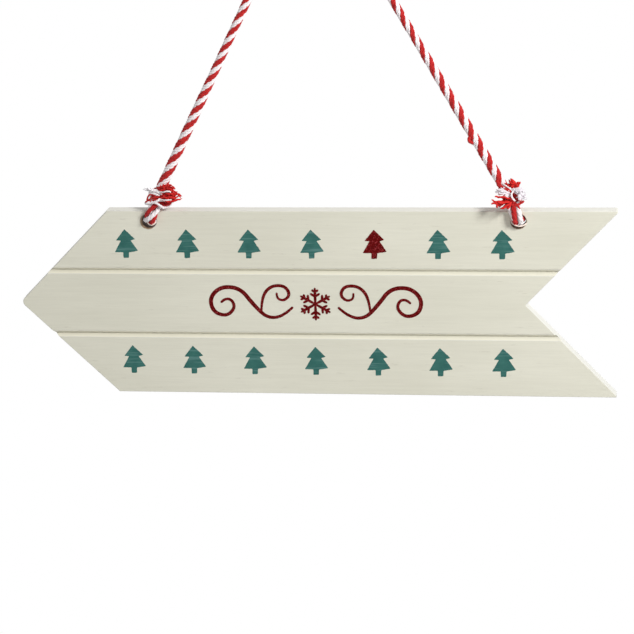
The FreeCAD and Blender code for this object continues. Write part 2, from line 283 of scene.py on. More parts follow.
def red_glitter():
    """Dark red glitter: small flakes, each with its own tilt and tone, and a few painted bright as glints."""
    material, tree, shader = new_material("red_glitter", Specular_IOR_Level=0.04)
    place = add_node(tree, "ShaderNodeTexCoord").outputs["Object"]
    flakes = add_node(tree, "ShaderNodeTexVoronoi", {"Vector": place, "Scale": 2300.0})
    parts = add_node(tree, "ShaderNodeSeparateColor", {"Color": flakes.outputs["Color"]}).outputs
    chance = parts["Red"]
    red = mixed(tree, span(tree, chance, 0.0, 0.8), *GLITTER_COLOURS)
    # Painted glints on a few flakes
    red = mixed(tree, span(tree, chance, 0.86, 0.93), red, PAINTED_GLINT_COLOUR)
    tree.links.new(red, shader.inputs["Base Color"])
    tree.links.new(span(tree, chance, 0.8, 0.95, 0.0, 0.3), shader.inputs["Metallic"])
    tree.links.new(span(tree, parts["Green"], 0, 1, 0.28, 0.6), shader.inputs["Roughness"])
    bump(tree, shader, parts["Blue"], 0.7, 0.2 * MM)
    return material


def cotton(name, pale, deep, sheen, relief):
    """Soft yarn: fine fibres run along it, with painted shade in the sunken gaps between them and uneven
    patches of tone.
    """
    material, tree, shader = new_material(
        name, Roughness=0.95, Specular_IOR_Level=0.05, Sheen_Weight=sheen, Sheen_Roughness=0.6)
    along = add_node(tree, "ShaderNodeTexCoord").outputs["UV"]
    fibres = noise(tree, along, (0.9, 9.0, 1.0), 4.0, 0.6)
    patches = noise(tree, along, (0.25, 1.0, 1.0), 2.0)
    shade_and_tone = maths(tree, "ADD", maths(tree, "MULTIPLY", fibres, 0.6), maths(tree, "MULTIPLY", patches, 0.4))
    # The deep colour is painted shade where the fibres sink, and the patches vary the tone along the yarn
    tree.links.new(mixed(tree, span(tree, shade_and_tone, 0.32, 0.66), deep, pale), shader.inputs["Base Color"])
    bump(tree, shader, fibres, relief, 0.18 * MM)
    return material


def flat(tree, place):
    """The same place with Y in the stead of Z, for distances across a floor."""
    axes = split(tree, place)
    return add_node(tree, "ShaderNodeCombineXYZ", {"X": axes["X"], "Z": axes["Y"]}).outputs["Vector"]


def stage_white():
    """Matt floor with the object's shadow near it, and plain white further out."""
    material, tree, shader = new_material("stage_white", Roughness=0.9, Specular_IOR_Level=0.0)
    shader.inputs["Base Color"].default_value = FLOOR_COLOUR
    place = add_node(tree, "ShaderNodeNewGeometry").outputs["Position"]
    far = span(tree, distance_from(tree, flat(tree, place), 0, 0), *FLOOR_FADE)
    white = add_node(tree, "ShaderNodeEmission", {"Color": PURE_WHITE, "Strength": 1.0})
    both = add_node(tree, "ShaderNodeMixShader", {
        0: maths(tree, "MULTIPLY", looked_at(tree), far), 1: shader.outputs["BSDF"],
        2: white.outputs["Emission"]})
    tree.links.new(both.outputs["Shader"], tree.nodes["Material Output"].inputs["Surface"])
    return material


# Mesh helpers

SPLINE_RESOLUTION = 48


def make_piece(name, shapes, materials, smooth=True):
    """One mesh of several shapes (points in mm, faces, loop uvs, material number), riding on the part."""
    points, faces, uvs, numbers = [], [], [], []
    start = 0
    for shape_points, shape_faces, shape_uvs, number in shapes:
        points.append(np.asarray(shape_points, float))
        faces.extend([[start + i for i in face] for face in shape_faces])
        uvs.append(np.asarray(shape_uvs, float).reshape(-1, 2))
        numbers.extend([number] * len(shape_faces))
        start += len(shape_points)
    mesh = bpy.data.meshes.new(name)
    mesh.from_pydata((np.concatenate(points) * MM).tolist(), [], faces)
    mesh.uv_layers.new(name="UVMap").data.foreach_set("uv", np.concatenate(uvs).ravel())
    mesh.polygons.foreach_set("material_index", numbers)
    mesh.polygons.foreach_set("use_smooth", [smooth] * len(faces))
    for material in materials:
        mesh.materials.append(material)
    mesh.update()
    piece = bpy.data.objects.new(name, mesh)
    bpy.context.scene.collection.objects.link(piece)
    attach(piece, "root")
    return piece


def arc_lengths(line):
    return np.concatenate([[0], np.cumsum(np.linalg.norm(np.diff(line, axis=0), axis=1))])


def evenly(line, step):
    lengths = arc_lengths(line)
    places = np.linspace(0, lengths[-1], max(3, int(round(lengths[-1] / step)) + 1))
    return np.stack([np.interp(places, lengths, line[:, axis]) for axis in range(3)], axis=1)


def spline_line(places, step):
    """Evenly spaced points, in mm, along the NURBS spline that has the given control points."""
    curve = bpy.data.curves.new("route", "CURVE")
    curve.dimensions = "3D"
    curve.resolution_u = SPLINE_RESOLUTION
    spline = curve.splines.new("NURBS")
    spline.points.add(len(places) - 1)
    for control, place in zip(spline.points, places):
        control.co = (*(np.asarray(place) * MM), 1)
    spline.order_u = 3
    spline.use_endpoint_u = True
    holder = bpy.data.objects.new("route", curve)
    mesh = bpy.data.meshes.new_from_object(holder)
    found = np.array([vertex.co for vertex in mesh.vertices], float) / MM
    bpy.data.objects.remove(holder)
    bpy.data.curves.remove(curve)
    bpy.data.meshes.remove(mesh)
    return evenly(found, step)


def unit(vectors):
    return vectors / np.linalg.norm(vectors, axis=-1, keepdims=True)


def mid_plane(place):
    """The point of the board's mid-plane at the given X and Z."""
    x, z = place
    return np.array([x, 0, z])


def cross_frames(line, first):
    """Two directions across the line at each point, which turn no more than the line does."""
    tangents = unit(np.gradient(line, axis=0))
    normals = np.empty_like(line)
    normal = np.asarray(first, float)
    for index, tangent in enumerate(tangents):
        normal = normal - tangent * (normal @ tangent)
        normal = normal / np.linalg.norm(normal)
        normals[index] = normal
    return normals, np.cross(tangents, normals)


def any_across(line):
    heading = line[1] - line[0]
    return np.cross(heading, np.eye(3)[np.argmin(np.abs(heading))])


def tube(path, radius, sides, number, start=0.0):
    """Round tube round a path; its u runs along it in mm and its v once round it."""
    count = len(path)
    normals, across = cross_frames(path, any_across(path))
    radii = np.broadcast_to(np.asarray(radius, float), (count,))[:, None, None]
    turn = np.linspace(0, math.tau, sides, endpoint=False)[None, :, None]
    around = np.cos(turn) * normals[:, None, :] + np.sin(turn) * across[:, None, :]
    rings = path[:, None, :] + radii * around
    ring, side = np.meshgrid(np.arange(count - 1), np.arange(sides), indexing="ij")
    after = (side + 1) % sides
    quads = np.stack([ring * sides + side, ring * sides + after,
                      (ring + 1) * sides + after, (ring + 1) * sides + side], axis=-1).reshape(-1, 4)
    lengths = start + arc_lengths(path)
    low, high = lengths[ring], lengths[ring + 1]
    uvs = np.stack([np.stack([low, side / sides], -1), np.stack([low, (side + 1) / sides], -1),
                    np.stack([high, (side + 1) / sides], -1), np.stack([high, side / sides], -1)], axis=-2)
    caps = [list(range(sides))[::-1], [(count - 1) * sides + i for i in range(sides)]]
    cap_uvs = np.zeros((2 * sides, 2))
    return rings.reshape(-1, 3), quads.tolist() + caps, np.concatenate([uvs.reshape(-1, 2), cap_uvs]), number


# Twisted cord

CORD_STRANDS = 4
PLIES = 3
PLY_SIDES = 7
# Shares of a strand's radius: a ply's radius, and how far out it lies
PLY_SIZE = 0.70
PLY_REACH = 0.32
# How far out it lies, across and deep, where a strand is pressed flat
PRESSED_REACH = (0.78, 0.14)
# How uneven a ply's turn, in radians, and its size are, and the length of the unevenness in mm
TURN_WANDER = (0.5, 30)
SIZE_WANDER = (0.06, 17)
WAVE_SHARES = (1.0, 0.6, 0.35)
# How nearly a strand's round end closes
ROUND_END = 0.97
# Step in u from ply to ply, so that no two show the same fibres
PLY_UV_GAP = 900
# Lengths along a cord, how far its twist runs ahead, in mm, and how thick it is
EVEN_LAY = ((0, 0.0, 1.0),)


def wander(length, seed, size, wave):
    """A slow, smooth, uneven change along a length, the same on each run."""
    rng = random.Random(seed)
    value = np.zeros_like(length)
    for share in WAVE_SHARES:
        value += share * np.sin(length * math.tau / (wave * (0.5 + share)) + rng.uniform(0, math.tau))
    return size * value / sum(WAVE_SHARES)


def twisted(line, count, reach, angles, frames, thick):
    """Lines that wind round a line together; reach is how far out, across and deep."""
    normals, sides = frames
    thick = np.broadcast_to(np.asarray(thick, float), (len(line),))[:, None]
    wide, deep = (thick * way for way in np.broadcast_to(np.asarray(reach, float), (2,)))
    paths = []
    for number in range(count):
        turn = (angles + math.tau * number / count)[:, None]
        paths.append(line + wide * np.cos(turn) * normals + deep * np.sin(turn) * sides)
    return paths


def plied(strand, radius, pitch, number, seed, core=None):
    """A strand of plies, round at both ends, and pressed flat against a core if it has one."""
    lengths = arc_lengths(strand)
    turns = seed - lengths * math.tau / pitch + wander(lengths, seed, *TURN_WANDER)
    radius = np.broadcast_to(np.asarray(radius, float), lengths.shape)
    ends = np.clip(1 - np.minimum(lengths, lengths[-1] - lengths) / radius, 0, ROUND_END)
    size = PLY_SIZE * radius * (1 + wander(lengths, seed + 10, *SIZE_WANDER)) * np.sqrt(1 - ends ** 2)
    if core is None:
        frames = cross_frames(strand, any_across(strand))
        reach = PLY_REACH
    else:
        out = unit(strand - core)
        frames = np.cross(unit(np.gradient(strand, axis=0)), out), out
        reach = PRESSED_REACH
    plies = twisted(strand, PLIES, reach, turns, frames, radius)
    return [tube(ply, size, PLY_SIDES, number, PLY_UV_GAP * (PLIES * seed + index))
            for index, ply in enumerate(plies)]


def twisted_cord(line, pitch, reach, radii, ply_pitch, seed, phase, first=None, lay=EVEN_LAY, taut=False):
    """Strands, red and white in turn, each of plies twisted the other way.

    A taut cord's strands press flat against each other.
    """
    lengths = arc_lengths(line)
    places, ahead, girth = zip(*lay)
    angles = phase + (lengths + np.interp(lengths, places, ahead)) * math.tau / pitch
    thick = np.interp(lengths, places, girth)
    frames = cross_frames(line, any_across(line) if first is None else first)
    core = line if taut else None
    shapes = []
    for number, strand in enumerate(twisted(line, CORD_STRANDS, reach, angles, frames, thick)):
        colour = number % 2
        shapes += plied(strand, radii[colour] * thick, ply_pitch, colour, seed + number, core)
    return shapes


# Cottons: the third one is a lighter white in the loose yarns, as painted light against their shade on each
# other, and in the knots a white yarn painted cream with light bounced from the bare wood of the holes

RED, WHITE = 0, 1
LIGHTENED_WHITE = BOUNCE_TINTED_WHITE = 2
red_cotton = cotton("red_cotton", (0.62, 0.031, 0.028, 1), (0.30, 0.006, 0.009, 1), 0.1, 0.6)
white_cotton = cotton("white_cotton", (0.90, 0.845, 0.85, 1), (0.82, 0.765, 0.78, 1), 0.3, 0.3)
# White yarn painted cream: painted light bounced from the wood in the holes
bounce_tinted_white_cotton = cotton("bounce_tinted_white_cotton", (0.86, 0.74, 0.65, 1), (0.76, 0.63, 0.55, 1), 0.3, 0.3)
# Red for the frayed ends: lighter and more orange than the cord's red, partly as fluffed fibres and partly as
# painted light against the yarns' shade on each other
lightened_loose_red = cotton("lightened_loose_red", (0.76, 0.036, 0.030, 1), (0.42, 0.008, 0.010, 1), 0.05, 0.6)
# Lit and shaded copies of the white yarn: a darker one for the right knot's white tufts as painted shade, and
# a lighter one for the left knot's wisps as painted light against their shade on each other
darkened_loose_white = cotton("darkened_loose_white", (0.82, 0.77, 0.80, 1), (0.72, 0.67, 0.71, 1), 0.3, 0.3)
lightened_loose_white = cotton("lightened_loose_white", (0.95, 0.925, 0.94, 1), (0.90, 0.87, 0.89, 1), 0.3, 0.3)
cottons = [red_cotton, white_cotton]
knot_cottons = [red_cotton, white_cotton, bounce_tinted_white_cotton]
loose_cottons = [lightened_loose_red, darkened_loose_white, lightened_loose_white]


# Legs of the cord

# The route of the legs, in metres: knot, near the hook, the hook's corner, near the hook, a kink, knot
CORD_ROUTE = [
    (-0.1085, 0, -0.1996),
    (-0.0134, 0, -0.0152),
    (0.0000, 0, 0.0108),
    (0.0142, 0, -0.0143),
    (0.1072, 0, -0.1790),
    (0.1187, 0, -0.1998),
]
# The legs' lay, as the bands of the two colours show it
CORD_LAY = [
    (0, 4.0, 1.14), (15, 1.3, 1.13), (27, 0.5, 1.12), (40, -0.1, 1.10), (52, -0.5, 1.08),
    (63, -0.5, 1.06), (87, -0.2, 0.96), (100, 0.5, 0.94), (111, 1.0, 0.93), (140, 1.3, 0.92),
    (340, 5.4, 0.90), (360, 4.9, 0.91), (371, 4.7, 0.96), (383, 4.1, 1.00), (395, 3.4, 1.02),
    (410, 3.1, 1.05), (440, 2.5, 1.09), (468, 2.7, 1.10),
]
LEG_STEP = 0.7
LEG_TWIST = {"pitch": 23.6, "reach": 2.02, "radii": (1.28, 1.14), "ply_pitch": 11.4, "seed": 3, "phase": 0.86}
STRAND_STEP = 0.4
# A thread pulled out of the right leg
SNAG = [
    (98.9, -1.0, -163.0),
    (96.2, -2.0, -163.8),
    (95.5, -2.2, -165.6),
    (96.4, -2.2, -167.2),
    (99.0, -1.2, -168.2),
]
SNAG_RADIUS = 1.15
SNAG_PLY_PITCH = 6.0
SNAG_SEED = 5


def make_legs():
    line = spline_line(np.array(CORD_ROUTE) / MM, LEG_STEP)
    shapes = twisted_cord(line, lay=CORD_LAY, taut=True, **LEG_TWIST)
    piece = make_piece("cord_legs", shapes, cottons)
    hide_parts("hanging_cord")
    return piece, line


def make_snag():
    shapes = plied(spline_line(SNAG, STRAND_STEP), SNAG_RADIUS, SNAG_PLY_PITCH, RED, SNAG_SEED)
    return make_piece("pulled_thread", shapes, cottons)


# Loops through the holes

# Depth, and height from the knot: front of the knot, through the hole (no height), back of the knot
LOOP_ROUTE = [(-3.2, -1.5), (-7.9, -4.2), (-7.9, None), (7.9, None), (7.9, -4.2), (3.2, -1.5)]
# How far above the hole's middle, and to its right, a loop passes
LOOP_LIFT = {-1: -0.4, 1: -0.5}
LOOP_SHIFT = {-1: 0.0, 1: 0.3}
LOOP_STEP = 0.4
LOOP_TWIST = {
    -1: {"pitch": 32.0, "reach": (2.75, 1.5), "radii": (1.5, 1.6), "seed": 19, "phase": 3.48},
    1: {"pitch": 66.0, "reach": (2.5, 1.5), "radii": (1.75, 1.75), "seed": 21, "phase": 0.91},
}
LOOP_PLY_PITCH = 10.0


def up_the_loop(side):
    """Unit vectors across and up a loop, from its hole to its knot, and its height."""
    rise = mid_plane(KNOTS[side]) - mid_plane(HOLES[side])
    height = np.linalg.norm(rise)
    up = rise / height
    return np.array([up[2], 0, -up[0]]), up, height


def make_loop(side, name):
    across, up, rise = up_the_loop(side)
    hole = mid_plane(HOLES[side])
    route = []
    for depth, from_knot in LOOP_ROUTE:
        height = LOOP_LIFT[side] if from_knot is None else rise + from_knot
        sideways = LOOP_SHIFT[side] if from_knot is None else 0.0
        route.append(hole + np.array([sideways, depth, 0]) + up * height)
    line = spline_line(route, LOOP_STEP)
    shapes = twisted_cord(line, ply_pitch=LOOP_PLY_PITCH, first=across, **LOOP_TWIST[side])
    return make_piece(name, shapes, cottons)


# Places picked on the photograph

# The two enlargements that they were picked on: how many times, and the pixel at each one's top left corner
FIRST_LOOK = (15.68, {-1: (120, 160), 1: (470, 160)})
SECOND_LOOK = (11.0, {-1: (130, 170), 1: (480, 165)})


def camera_axes():
    """The camera's right, up and back directions."""
    azimuth, elevation, roll = (math.radians(a) for a in (CAMERA_AZIMUTH, CAMERA_ELEVATION, CAMERA_ROLL))
    back = Vector((math.sin(azimuth) * math.cos(elevation), -math.cos(azimuth) * math.cos(elevation),
                   math.sin(elevation)))
    right = Vector((0, 0, 1)).cross(back).normalized()
    up = back.cross(right)
    return math.cos(roll) * right + math.sin(roll) * up, math.cos(roll) * up - math.sin(roll) * right, back


def picked(side, look, points):
    """Places to a tenth of a mm, from pixels across and down an enlargement and depths in mm."""
    scale, corners = look
    right, up, back = (np.array(axis) for axis in camera_axes())
    eye = (np.array(CAMERA_TARGET) + CAMERA_DISTANCE * back) / MM
    places = []
    for across, down, depth in points:
        pixel = np.array(corners[side]) + np.array([across, down]) / scale
        from_middle = (pixel - FRAME_PIXELS / 2) / FOCAL_PIXELS
        ray = from_middle[0] * right - from_middle[1] * up - back
        places.append(np.round(eye + ray * (depth - eye[1]) / ray[1], 1))
    return places


# Knots

# Two turns of cord in the knot's core: across, depth and height from its middle
CORE_ROUTE = [
    (0.5, -0.5, 4.6), (2.2, -3.0, 3.4), (4.4, -0.6, 2.4), (2.4, 3.9, 1.8), (-2.7, 3.8, 1.2),
    (-4.8, -0.4, 0.6), (-2.4, -4.2, -0.2), (2.7, -4.1, -1.2), (4.8, 0.4, -2.4), (2.4, 4.1, -3.0),
    (-2.7, 3.9, -3.4), (-4.8, 0, -3.8), (-2.2, -4.1, -3.8), (2.0, -4.1, -3.4), (3.6, -2.0, -0.8),
    (1.5, -2.5, 0.6),
]
CORE_STEP = 0.5
CORE_TWIST = {"pitch": 16.0, "reach": 1.3, "radii": (1.0, 0.9), "ply_pitch": 8.0, "phase": 1.0}
CORE_SEED = 40
# A strand's ply pitch, in its radii
STRAND_PLY_PITCH = 8

# Strands laid over each knot, and the last under its loop: the enlargement, colour, radius and points
KNOT_STRANDS = {
    -1: [
        (FIRST_LOOK, WHITE, 0.95, [
            (395, 675, -1), (430, 690, -5), (520, 697, -7.4), (600, 692, -8.2),
            (655, 738, -7.6), (725, 742, -6.2), (800, 692, -3), (815, 640, 0)]),
        (FIRST_LOOK, WHITE, 0.80, [
            (570, 655, -7.6), (640, 626, -8.6), (720, 640, -8.2), (800, 622, -6.2), (840, 600, -3)]),
        (FIRST_LOOK, RED, 1.65, [
            (590, 640, -5), (650, 690, -6.4), (715, 702, -6.2), (780, 665, -4), (800, 620, -1)]),
        (FIRST_LOOK, RED, 0.58, [
            (395, 668, -6), (440, 628, -7), (500, 598, -8), (570, 576, -8.6),
            (640, 572, -8.2), (700, 560, -6.5)]),
        (FIRST_LOOK, RED, 0.45, [(410, 640, -6), (460, 640, -7), (520, 640, -7.6), (580, 610, -8)]),
        (FIRST_LOOK, WHITE, 0.75, [(450, 548, -5.6), (510, 520, -7), (575, 540, -8), (650, 575, -7.6)]),
        (FIRST_LOOK, WHITE, 0.70, [
            (450, 520, -3), (510, 490, -5.5), (570, 492, -7), (620, 522, -7.8), (670, 560, -7)]),
        (SECOND_LOOK, WHITE, 0.52, [
            (318, 236, -6), (352, 250, -9.5), (388, 238, -11.5), (424, 232, -11.5), (452, 242, -10.5)]),
        (FIRST_LOOK, RED, 1.30, [
            (585, 440, -1), (630, 450, -4.5), (670, 520, -6.4), (690, 600, -6), (660, 650, -3)]),
        (SECOND_LOOK, WHITE, 0.70, [
            (172, 369, -8.5), (225, 367, -9.8), (270, 355, -10.5), (305, 338, -10.8), (335, 314, -9.5)]),
        (SECOND_LOOK, WHITE, 0.45, [
            (330, 322, -9.5), (362, 331, -12.2), (409, 333, -12.8), (458, 328, -11.5)]),
        (SECOND_LOOK, WHITE, 0.70, [
            (238, 354, -9.5), (290, 364, -10.8), (330, 390, -10.8), (372, 424, -9.5)]),
        (SECOND_LOOK, RED, 0.60, [
            (188, 335, -6), (194, 290, -6.5), (225, 266, -7), (265, 276, -7.5), (300, 296, -8)]),
        (SECOND_LOOK, BOUNCE_TINTED_WHITE, 0.45, [
            (184, 566, -5.6), (202, 593, -6.6), (234, 607, -6.8), (266, 599, -6), (286, 568, -4.4)]),
    ],
    1: [
        (FIRST_LOOK, RED, 1.50, [
            (425, 300, -1), (445, 405, -4.5), (540, 452, -7.4), (620, 488, -8.2), (690, 530, -6.5)]),
        (FIRST_LOOK, WHITE, 0.55, [(488, 362, -3.6), (553, 398, -7), (620, 442, -8.6), (690, 501, -8.5)]),
        (SECOND_LOOK, WHITE, 0.66, [
            (368, 282, -8.5), (346, 312, -10.5), (346, 345, -11.5), (362, 374, -11.5), (388, 396, -11)]),
        (FIRST_LOOK, WHITE, 1.15, [(660, 520, -6.8), (590, 535, -8), (545, 570, -8.2), (520, 605, -7.4)]),
        (FIRST_LOOK, WHITE, 0.90, [(640, 500, -6), (570, 500, -7), (500, 520, -7), (440, 540, -6)]),
        (FIRST_LOOK, RED, 0.70, [(450, 735, -8), (515, 690, -9.2), (590, 640, -9.8), (655, 602, -9)]),
        (FIRST_LOOK, RED, 0.70, [(500, 768, -8), (550, 712, -9.2), (610, 662, -9.8), (680, 640, -9)]),
        (FIRST_LOOK, RED, 0.70, [(590, 770, -8), (590, 710, -9), (640, 672, -9.6), (700, 660, -9)]),
        (FIRST_LOOK, RED, 0.85, [(590, 690, -8.6), (680, 716, -9.6), (765, 702, -9), (850, 642, -7.4)]),
        (FIRST_LOOK, RED, 0.75, [(660, 650, -8.6), (730, 690, -9.4), (770, 740, -9), (780, 780, -8)]),
        (FIRST_LOOK, RED, 1.20, [(560, 600, -5), (640, 640, -7), (720, 640, -7), (780, 600, -4)]),
        (SECOND_LOOK, BOUNCE_TINTED_WHITE, 0.50, [
            (340, 586, -5), (341, 629, -6.4), (380, 660, -7.2), (430, 676, -7),
            (477, 668, -6.2), (508, 647, -4.8), (516, 626, -3.2)]),
    ],
}


def in_knot(side, points):
    """From across, depth and height in a knot to the part's frame."""
    across, up, _ = up_the_loop(side)
    return [mid_plane(KNOTS[side]) + x * across + np.array([0, y, 0]) + z * up for x, y, z in points]


def make_knot(side, name, node):
    flipped = [(-side * x, y, z) for x, y, z in CORE_ROUTE]
    line = spline_line(in_knot(side, flipped), CORE_STEP)
    shapes = twisted_cord(line, seed=CORE_SEED + side, **CORE_TWIST)
    for seed, (look, number, radius, points) in enumerate(KNOT_STRANDS[side]):
        strand = spline_line(picked(side, look, points), STRAND_STEP)
        shapes += plied(strand, radius, STRAND_PLY_PITCH * radius, number, seed)
    piece = make_piece(name, shapes, knot_cottons)
    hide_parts(node)
    return piece


# Loose yarns

# Points along a yarn, length of a turn, scatter of its ends, bend, and how much its thickness varies
YARN_POINTS = 15
YARN_TWIST = 4.2
YARN_SPREAD = 0.6
YARN_BEND = 0.4
YARN_SIZES = (0.85, 1.15)
YARN_TAPER = ([0, 0.85, 0.96, 1], [1, 1.05, 0.9, 0.3])
YARN_UV_RANGE = 5000
# Yarns that share a tip with another one: how long and how thick, as shares of it
SHORTER = (0.78, 0.98)
THINNER = 0.9
YARN_SEED = 70

# Picked on the second look: colour, radius, waviness, how many to a tip, where they leave the knot, and tips
LOOSE_YARNS = {
    -1: [
        (RED, 0.50, 0.30, 3, (350, 222, -5), [
            (322, 196, -4), (348, 176, -5), (374, 166, -6), (402, 164, -7), (428, 164, -6), (454, 167, -7),
            (474, 178, -6), (486, 190, -7), (494, 206, -8), (482, 224, -9), (442, 196, -9), (410, 188, -9),
            (462, 206, -9), (380, 186, -8)]),
        (RED, 0.55, 0.30, 2, (352, 292, -7.5), [
            (480, 252, -8), (508, 256, -9), (524, 246, -8), (536, 266, -9), (546, 286, -8), (528, 302, -10),
            (536, 322, -9), (520, 342, -8), (498, 330, -10), (468, 334, -9), (500, 300, -11), (476, 280, -10),
            (572, 286, -8), (574, 312, -8.5)]),
        (LIGHTENED_WHITE, 0.46, 0.05, 2, (330, 258, -5), [
            (144, 210, -3), (158, 201, -3), (190, 197, -3.5), (222, 199, -4),
            (250, 208, -4.5), (196, 210, -5)]),
        (RED, 0.34, 0.25, 1, (330, 296, -8), [
            (178, 356, -7), (200, 344, -8), (236, 338, -8.5), (262, 318, -9)]),
    ],
    1: [
        (RED, 0.60, 0.22, 2, (386, 242, -6), [
            (314, 162, -6), (330, 152, -7), (350, 153, -6), (362, 166, -7), (328, 178, -8), (346, 180, -7),
            (350, 204, -8.5), (374, 198, -8), (398, 204, -8.5), (414, 220, -8), (342, 226, -9),
            (438, 182, -6), (422, 198, -7), (274, 204, -6), (302, 210, -7)]),
        (WHITE, 0.50, 0.12, 4, (372, 276, -8), [
            (402, 246, -7), (426, 243, -7.5), (452, 250, -8), (476, 262, -8.5), (492, 280, -8),
            (502, 300, -9), (490, 326, -9), (470, 336, -9.5), (450, 310, -10.5), (432, 280, -11),
            (462, 284, -10.5)]),
        (WHITE, 0.50, 0.08, 3, (436, 326, -9.5), [
            (484, 350, -10), (482, 372, -10.5), (468, 392, -11), (440, 394, -11.5), (422, 382, -11.5),
            (506, 346, -9.5), (520, 372, -9), (514, 322, -9)]),
        (WHITE, 0.55, 0.08, 5, (340, 312, -7.5), [
            (166, 296, -9), (182, 276, -9.5), (216, 262, -9), (250, 262, -8.5), (288, 284, -8.5),
            (202, 312, -10), (240, 322, -10.5), (268, 350, -11), (284, 368, -10), (228, 292, -10.5)]),
        (RED, 0.62, 0.25, 1, (352, 402, -9), [
            (128, 382, -14), (126, 436, -14), (152, 428, -15.5), (166, 350, -13), (206, 346, -13),
            (246, 358, -12), (190, 462, -15), (224, 484, -14.5), (262, 478, -14), (302, 486, -12),
            (186, 398, -16)]),
    ],
}


def yarn(rng, root, tip, radius, wave, number):
    """One loose yarn, still wavy from the twist, cut off short."""
    start = root + np.array([rng.gauss(0, YARN_SPREAD) for _ in range(3)])
    bend = np.array([rng.gauss(0, YARN_BEND * wave) for _ in range(3)]) * np.linalg.norm(tip - start)
    share = np.linspace(0, 1, YARN_POINTS)[:, None]
    line = start + (tip - start) * share + bend * 4 * share * (1 - share)
    normals, sides = cross_frames(line, any_across(line))
    turns = arc_lengths(line)[:, None] * math.tau / YARN_TWIST + rng.uniform(0, math.tau)
    line = line + wave * np.minimum(1, 3 * share) * (np.cos(turns) * normals + np.sin(turns) * sides)
    size = radius * rng.uniform(*YARN_SIZES) * np.interp(share[:, 0], *YARN_TAPER)
    return tube(line, size, PLY_SIDES, number, rng.uniform(0, YARN_UV_RANGE))


def make_loose_yarns(side, name, node):
    rng = random.Random(YARN_SEED + side)
    shapes = []
    for number, radius, wave, count, root_point, tip_points in LOOSE_YARNS[side]:
        root, *tips = picked(side, SECOND_LOOK, [root_point, *tip_points])
        for tip in tips:
            shapes.append(yarn(rng, root, tip, radius, wave, number))
            for _ in range(count - 1):
                near = root + (tip - root) * rng.uniform(*SHORTER)
                near = near + [rng.gauss(0, YARN_SPREAD) for _ in range(3)]
                shapes.append(yarn(rng, root, near, THINNER * radius, wave, number))
    piece = make_piece(name, shapes, loose_cottons)
    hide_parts(node)
    return piece


# Printed trees

# Outline from the top, in X and Z
TREE = [
    (0.05, 0.5), (6.85, -6.5), (3.75, -7.35), (8.3, -14.55), (2.1, -15.6), (1.85, -19.35),
    (-1.85, -19.5), (-1.78, -15.55), (-7.5, -15.55), (-2.85, -7.45), (-6.15, -7.3),
]
TREE_PLACES_X = [-133.3, -91.9, -50.4, -8.8, 32.8, 74.4, 116.1]
TREE_TOPS = (-225.5, -307.2)
# The most that a tree leans, in degrees
TREE_LEAN = 0.8
TREE_SEED = 5
# Column and row of the glitter tree
RED_TREE = (4, 0)
PRINT_RISE = 0.05
GLITTER_RISE = 0.12
CORNER_REACH = 0.45
EDGE_WOBBLE = 0.05
# Where the points of an edge start and end, from its corners, and how far apart they are
EDGE_START, EDGE_END, EDGE_STEP = 1.2, 1.0, 0.9


def softened(outline, rng):
    """Outline with slightly uneven edges and small round corners, as a stencil leaves them."""
    result = []
    count = len(outline)
    for index in range(count):
        before, here, after = (np.array(outline[(index + step) % count]) for step in (-1, 0, 1))
        back, ahead = unit(before - here), unit(after - here)
        for share in (0.0, 0.5, 1.0):
            result.append(here + CORNER_REACH * ((1 - share) ** 2 * back + share ** 2 * ahead))
        normal = np.array([-ahead[1], ahead[0]])
        for step in np.arange(EDGE_START, np.linalg.norm(after - here) - EDGE_END, EDGE_STEP):
            result.append(here + ahead * step + normal * rng.gauss(0, EDGE_WOBBLE))
    return result


def raised_sheet(outline, number, rise):
    """Thin layer on the board's front, with its outline given in X and Z."""
    top = [(x, BOARD_FRONT - rise, z) for x, z in outline]
    foot = [(x, BOARD_FRONT, z) for x, z in outline]
    count = len(outline)
    faces = [list(range(count))]
    faces += [[i, count + i, count + (i + 1) % count, (i + 1) % count] for i in range(count)]
    return top + foot, faces, np.zeros((count + 4 * count, 2)), number


def make_trees(glitter_red):
    rng = random.Random(TREE_SEED)
    teal, glitter = [], []
    for row, top in enumerate(TREE_TOPS):
        for column, x in enumerate(TREE_PLACES_X):
            lean = math.radians(rng.uniform(-TREE_LEAN, TREE_LEAN))
            cos, sin = math.cos(lean), math.sin(lean)
            turned = [(x + u * cos - v * sin, top + u * sin + v * cos) for u, v in softened(TREE, rng)]
            (glitter if (column, row) == RED_TREE else teal).append(turned)
    make_piece("teal_trees", [raised_sheet(tree[::-1], 0, PRINT_RISE) for tree in teal],
               [printed_teal()], smooth=False)
    make_piece("glitter_tree", [raised_sheet(tree[::-1], 0, GLITTER_RISE) for tree in glitter],
               [glitter_red], smooth=False)


# Glitter flourish

FLOURISH_CENTRE = (-7.5, -276.6)
# Strokes of its right half, in X and Z from its middle, with their full widths
SCROLLS = [
    ([(15, -2), (22, -9), (33, -10), (42, 0), (50, 11), (63, 12), (71, 4), (69, -6), (60, -9), (54, -3),
      (56, 3), (61, 3.5), (63.5, 0.5)], 2.8),
    ([(36.5, -6.5), (36, 4), (30, 12.5), (20, 13), (16.5, 6.5), (21, 2), (26, 4), (25.5, 8)], 2.2),
]
FLAKE_ARMS = 6
FLAKE_LENGTH = 11.5
ARM_WIDTH = 1.9
# Where on an arm each pair of branches starts, and how long the branches are
FLAKE_BRANCHES = [(5.2, 4.0), (8.4, 2.8)]
BRANCH_WIDTH = 1.7
BRANCH_ANGLE = math.radians(55)
# How much one stroke lies above another that crosses it
SCROLL_LIFT = 0.01
ARM_LIFT = 0.004
BRANCH_LIFT = 0.03
STROKE_STEP = 0.5
STROKE_TAPER = ([0, 0.3, 0.7, 1], [0.62, 1, 1, 0.62])
# How much of its width a round end takes up, how nearly it closes, and how wide the top is
STROKE_END = 0.3
STROKE_ROUND = 0.98
STROKE_TOP = 0.94


